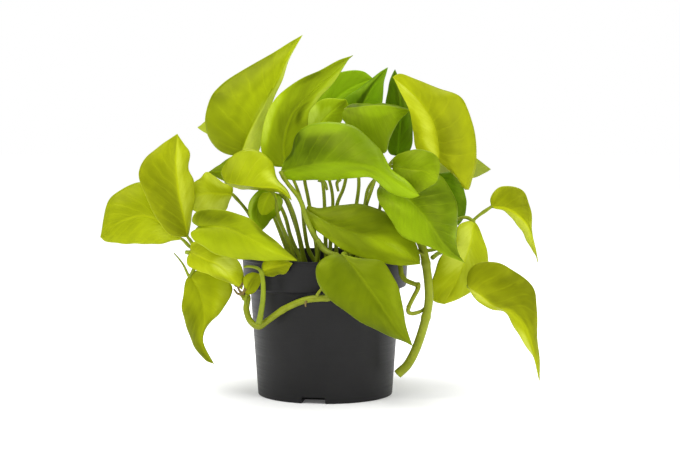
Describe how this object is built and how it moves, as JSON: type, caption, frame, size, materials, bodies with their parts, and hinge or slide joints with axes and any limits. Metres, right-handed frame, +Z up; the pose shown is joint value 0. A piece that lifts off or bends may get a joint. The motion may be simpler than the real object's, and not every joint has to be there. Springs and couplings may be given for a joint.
{
  "type": "potted plant",
  "caption": "Neon pothos in a round black nursery pot: heart-shaped yellow-green leaves on long stalks and two stems trailing over the rim.",
  "frame": {"origin": "centre of the pot's flat underside, on the surface it stands on", "axes": "+Z up the pot's axis; -Y is the front, where the heart-shaped leaf hangs over the rim; +X is to the right seen from the front, the way the plant spreads widest"},
  "size_m": [0.3114, 0.1936, 0.2588],
  "materials": {
    "leaf_neon": "satin yellow-green leaf, the lightest leaves",
    "leaf_olive": "satin mid-green leaf",
    "leaf_deep": "satin deep green leaf in shade",
    "stem_green": "smooth green stem",
    "pot_plastic": "satin charcoal-black moulded plastic",
    "soil": "dark brown potting soil"
  },
  "bodies": {
    "root": {"leaf_left_far": "leaf_neon", "leaf_left_upright": "leaf_olive", "leaf_left_inner": "leaf_neon", "leaf_left_shade": "leaf_deep", "leaf_dome_left": "leaf_neon", "leaf_curled": "leaf_deep", "leaf_curled_young": "leaf_olive", "leaf_left_glossy": "leaf_neon", "leaf_left_low": "leaf_neon", "leaf_left_hanging": "leaf_neon", "leaf_left_under": "leaf_olive", "leaf_tail_young": "leaf_olive", "leaf_tall_left": "leaf_neon", "leaf_tall_middle": "leaf_neon", "leaf_small_middle": "leaf_olive", "leaf_round_back": "leaf_olive", "leaf_dark_point": "leaf_deep", "leaf_fold_middle": "leaf_olive", "leaf_dark_back": "leaf_deep", "leaf_tall_right": "leaf_neon", "leaf_round_middle": "leaf_olive", "leaf_centre_large": "leaf_olive", "leaf_front_right": "leaf_deep", "leaf_dark_right": "leaf_deep", "leaf_right_low": "leaf_neon", "leaf_right_far": "leaf_neon", "leaf_right_hanging": "leaf_neon", "leaf_front_pot": "leaf_neon", "leaf_front_olive": "leaf_olive", "leaf_back_centre": "leaf_neon", "leaf_back_left": "leaf_neon", "leaf_back_right": "leaf_olive", "leaf_back_low_left": "leaf_neon", "leaf_back_low_right": "leaf_neon", "leaf_back_hanging": "leaf_neon", "leaf_back_right_hanging": "leaf_neon", "stem_left": "stem_green", "stem_right": "stem_green", "shoot_right": "stem_green", "pot": "pot_plastic", "soil": "soil"}
  },
  "joints": []
}
